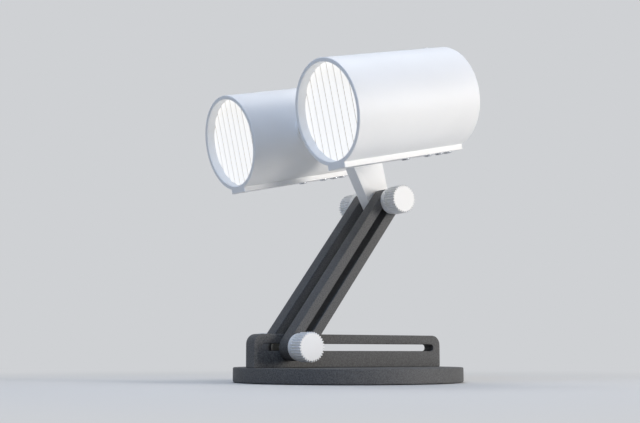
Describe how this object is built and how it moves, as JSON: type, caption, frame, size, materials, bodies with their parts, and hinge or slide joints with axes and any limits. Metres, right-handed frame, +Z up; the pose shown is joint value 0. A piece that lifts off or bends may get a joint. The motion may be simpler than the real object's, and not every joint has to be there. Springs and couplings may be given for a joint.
{
  "type": "desk lamp",
  "caption": "Desk lamp with a pair of cylindrical spot heads on a slotted folding arm that clamps to a slotted rail on a round weighted base.",
  "frame": {"origin": "centre of the base's underside, on the surface it stands on", "axes": "+Z up, +X along the slotted rail away from where the heads shine, +Y along every pivot, from the near head to the far head"},
  "size_m": [0.2, 0.2452, 0.2862],
  "materials": {
    "sand_charcoal": "fine sand-textured powder coat",
    "pad_foam": "non-slip foam rubber",
    "zinc_steel": "bright zinc-plated",
    "satin_white": "satin moulded white",
    "knob_white": "satin moulded white",
    "nylon_washer": "natural nylon",
    "brass_insert": "turned",
    "reeded_diffuser": "opal with upright reeds",
    "reflector_white": "gloss white",
    "board_aluminium": "white solder mask on aluminium",
    "led_phosphor": "yellow phosphor",
    "sink_aluminium": "bead-blasted",
    "chassis_grey": "moulded",
    "cell_wrap": "shrink-wrapped",
    "board_green": "solder mask",
    "switch_black": "moulded",
    "socket_steel": "plated"
  },
  "bodies": {
    "base": {"base_disc": "sand_charcoal", "base_pad": "pad_foam", "slotted_rail": "sand_charcoal", "rail_screws": "zinc_steel"},
    "lower_clamp": {"lower_stud": "zinc_steel", "lower_spacers": "nylon_washer"},
    "lower_near_grip": {"lower_near_knob": "knob_white", "lower_near_insert": "brass_insert"},
    "lower_far_grip": {"lower_far_knob": "knob_white", "lower_far_insert": "brass_insert"},
    "arms": {"near_arm": "sand_charcoal", "far_arm": "sand_charcoal"},
    "upper_clamp": {"upper_stud": "zinc_steel", "upper_spacers": "nylon_washer"},
    "upper_near_grip": {"upper_near_knob": "knob_white", "upper_near_insert": "brass_insert"},
    "upper_far_grip": {"upper_far_knob": "knob_white", "upper_far_insert": "brass_insert"},
    "head_carrier": {"bracket": "satin_white", "cross_tube": "satin_white", "tilt_axle": "zinc_steel", "axle_nuts": "zinc_steel", "friction_washers": "nylon_washer", "spring_washers": "zinc_steel"},
    "near_head": {"near_housing": "satin_white", "near_lens": "reeded_diffuser", "near_reflector": "reflector_white", "near_led_board": "board_aluminium", "near_leds": "led_phosphor", "near_heat_sink": "sink_aluminium", "near_chassis": "chassis_grey", "near_cells": "cell_wrap", "near_control_board": "board_green", "near_switch": "switch_black", "near_rear_cap": "satin_white", "near_charge_socket": "socket_steel", "near_foot_screws": "zinc_steel"},
    "near_push": {"near_button": "satin_white"},
    "far_head": {"far_housing": "satin_white", "far_lens": "reeded_diffuser", "far_reflector": "reflector_white", "far_led_board": "board_aluminium", "far_leds": "led_phosphor", "far_heat_sink": "sink_aluminium", "far_chassis": "chassis_grey", "far_cells": "cell_wrap", "far_control_board": "board_green", "far_switch": "switch_black", "far_rear_cap": "satin_white", "far_charge_socket": "socket_steel", "far_foot_screws": "zinc_steel"},
    "far_push": {"far_button": "satin_white"}
  },
  "joints": [
    {"name": "rail_slide", "type": "slide", "parent": "base", "child": "lower_clamp", "axis": [1, 0, 0], "range_m": [-0.0232, 0.1518]},
    {"name": "arm_pivot", "type": "hinge", "parent": "lower_clamp", "child": "arms", "pos_m": [-0.0644, 0, 0.03], "axis": [0, 1, 0], "range_deg": [-75, 40]},
    {"name": "upper_slide", "type": "slide", "parent": "arms", "child": "upper_clamp", "axis": [-0.5976, 0, -0.8018], "range_m": [0, 0.12]},
    {"name": "bracket_pivot", "type": "hinge", "parent": "upper_clamp", "child": "head_carrier", "pos_m": [0.03182, 0, 0.15909], "axis": [0, -1, 0], "range_deg": [-85, 60]},
    {"name": "near_head_tilt", "type": "hinge", "parent": "head_carrier", "child": "near_head", "pos_m": [-0.01981, 0, 0.22861], "axis": [0, 1, 0], "range_deg": [-60, 60]},
    {"name": "far_head_tilt", "type": "hinge", "parent": "head_carrier", "child": "far_head", "pos_m": [-0.01981, 0, 0.22861], "axis": [0, 1, 0], "range_deg": [-60, 60]},
    {"name": "lower_near_turn", "type": "hinge", "parent": "lower_clamp", "child": "lower_near_grip", "pos_m": [-0.0644, -0.03, 0.03], "axis": [0, -1, 0], "range_deg": [0, 360]},
    {"name": "lower_far_turn", "type": "hinge", "parent": "lower_clamp", "child": "lower_far_grip", "pos_m": [-0.0644, 0.03, 0.03], "axis": [0, 1, 0], "range_deg": [0, 360]},
    {"name": "upper_near_turn", "type": "hinge", "parent": "upper_clamp", "child": "upper_near_grip", "pos_m": [0.03182, -0.03, 0.15909], "axis": [0, -1, 0], "range_deg": [0, 360]},
    {"name": "upper_far_turn", "type": "hinge", "parent": "upper_clamp", "child": "upper_far_grip", "pos_m": [0.03182, 0.03, 0.15909], "axis": [0, 1, 0], "range_deg": [0, 360]},
    {"name": "near_button_press", "type": "slide", "parent": "near_head", "child": "near_push", "axis": [0.219, 0, -0.9757], "range_m": [0, 0.0006], "stiffness_N_per_m": 500, "springref_m": -0.001},
    {"name": "far_button_press", "type": "slide", "parent": "far_head", "child": "far_push", "axis": [0.219, 0, -0.9757], "range_m": [0, 0.0006], "stiffness_N_per_m": 500, "springref_m": -0.001}
  ]
}
